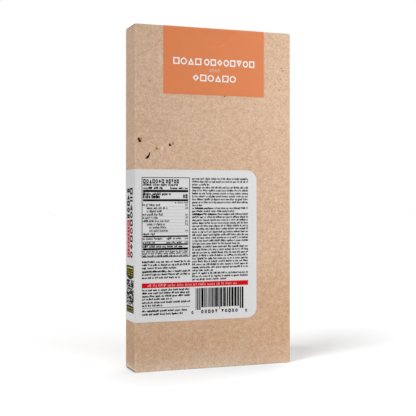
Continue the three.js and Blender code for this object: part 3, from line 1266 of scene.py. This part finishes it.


# Papers: colour, roughness, strength of the clouds, depth of the tooth, and the factor at a fold, painted
# shade below 1 and a painted highlight above 1.
paperLooks = {
    "orangePaper": [(0.606, 0.184, 0.062), 0.52, 0.025, 0.008, 1.05],
    "whitePaper": [(0.623, 0.623, 0.625), 0.46, 0.015, 0.006, 0.94],
}

# Inks and specks: the colour, the colour where it is thin, and the roughness if it isn't the usual.
inks = {
    "blackInk": [(0.006, 0.006, 0.006), (0.025, 0.025, 0.025)],
    "titleInk": [(0.735, 0.735, 0.72), (0.70, 0.59, 0.51)],
    "fineTitleInk": [(0.66, 0.50, 0.42), (0.64, 0.34, 0.22)],
    "redInk": [(0.53, 0.004, 0.010), (0.55, 0.025, 0.025)],
    "bandMarkInk": [(0.62, 0.52, 0.52), (0.60, 0.34, 0.34)],
    "badgeInk": [(0.007, 0.005, 0.001), (0.02, 0.015, 0.005)],
    "yellowInk": [(0.66, 0.54, 0.012), (0.46, 0.37, 0.02)],
    "darkSpeck": [(0.030, 0.014, 0.005), (0.09, 0.05, 0.02), 0.8],
    "brownSpeck": [(0.30, 0.18, 0.10), (0.36, 0.23, 0.14), 0.85],
}


# Materials first, then the board and papers, then what is printed on them, then the specks.
def build():
    kraftBoard, cutEdge = kraftMaterial(), cutEdgeMaterial()
    orangePaper, whitePaper = (paperMaterial(name, *look) for name, look in paperLooks.items())
    inked = {name: inkMaterial(name, *look) for name, look in inks.items()}
    print("materials ready")

    piece = addPiece("cartonBoard", boardSkin(), board["thick"], [kraftBoard, cutEdge], 35, board["bevel"])
    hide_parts("carton")
    lift = papers["lift"]
    piece = addPiece("sealLabel", sealSkin(), lift, [orangePaper], 40)
    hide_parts("seal_label")
    piece = addPiece("infoLabel", labelSkin(), lift, [whitePaper], 40)
    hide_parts("info_label")

    first, second = lift + inkLayer["first"], lift + inkLayer["second"]
    rng = np.random.default_rng(7)
    heavy, fine = sealTitleQuads()
    printed = [
        ("sealTitle", ["front", "back"], heavy, first, "titleInk"),
        ("sealTitleFine", ["front", "back"], fine, first, "fineTitleInk"),
        ("factsPanel", ["front"], factsPanelQuads(rng), first, "blackInk"),
        ("smallPrint", ["front"], smallPrintQuads(rng), first, "blackInk"),
        ("stripeField", ["front"], stripeQuads(rng), first, "blackInk"),
        ("redBand", ["front"], bars([redBand["box"]]), first, "redInk"),
        ("redBandMarks", ["front"], wordQuads(rng, *redBand["marks"]), second, "bandMarkInk"),
        ("sideMarks", ["left"], sideBlackQuads(), first, "blackInk"),
        ("sideRedBlock", ["left"], bars([sideMarks["redBlock"]]), first, "redInk"),
        ("sideBlockMarks", ["left"], sideBlockMarkQuads(), second, "bandMarkInk"),
        ("sideBadges", ["left"], badgeQuads(), first, "badgeInk"),
        ("sideBadgeBars", ["left"], badgeBarQuads(rng), second, "yellowInk"),
        ("sideField", ["left"], fieldQuads(rng), first, "blackInk"),
    ]
    for name, faces, quads, above, look in printed:
        skin = joinSkins([onFace(face, quads, above) for face in faces])
        addPiece(name, skin, inkLayer["thick"], [inked[look]])
    print("print laid on")

    rng = np.random.default_rng(23)
    dark = [blotSkin("front", x + halfWidth, z, a, b, rng) for x, z, a, b in specks["dark"]]
    dark.append(curlSkin())
    piece = addPiece("darkSpecks", joinSkins(dark), specks["thick"], [inked["darkSpeck"]])
    small = [blotSkin("front", x + halfWidth, z, a, b, rng) for x, z, a, b in specks["small"]]
    faces, margin = specks["scatteredFaces"], specks["margin"]
    for _ in range(specks["scattered"]):
        face = rng.choice(list(faces), p=list(faces.values()))
        span = 2 * (halfWidth if face in ("front", "back") else halfDepth)
        across, up = rng.uniform(margin, span - margin), rng.uniform(margin, height - margin)
        half = rng.uniform(*specks["scatteredHalf"])
        halfUp = half * rng.uniform(*specks["scatteredStretch"])
        small.append(blotSkin(face, across, up, half, halfUp, rng))
    piece = addPiece("brownSpecks", joinSkins(small), specks["thick"], [inked["brownSpeck"]])


# The floor: one level square at the carton's foot.
def addFloor():
    reach = room["floorReach"]
    mesh = bpy.data.meshes.new("floor")
    corners = [(-reach, -reach, 0), (reach, -reach, 0), (reach, reach, 0), (-reach, reach, 0)]
    mesh.from_pydata(corners, [], [(0, 1, 2, 3)])
    mesh.materials.append(floorMaterial())
    floor = addObject("floor", mesh)


addCamera()
addLights()
addRoom()
addFloor()
build()
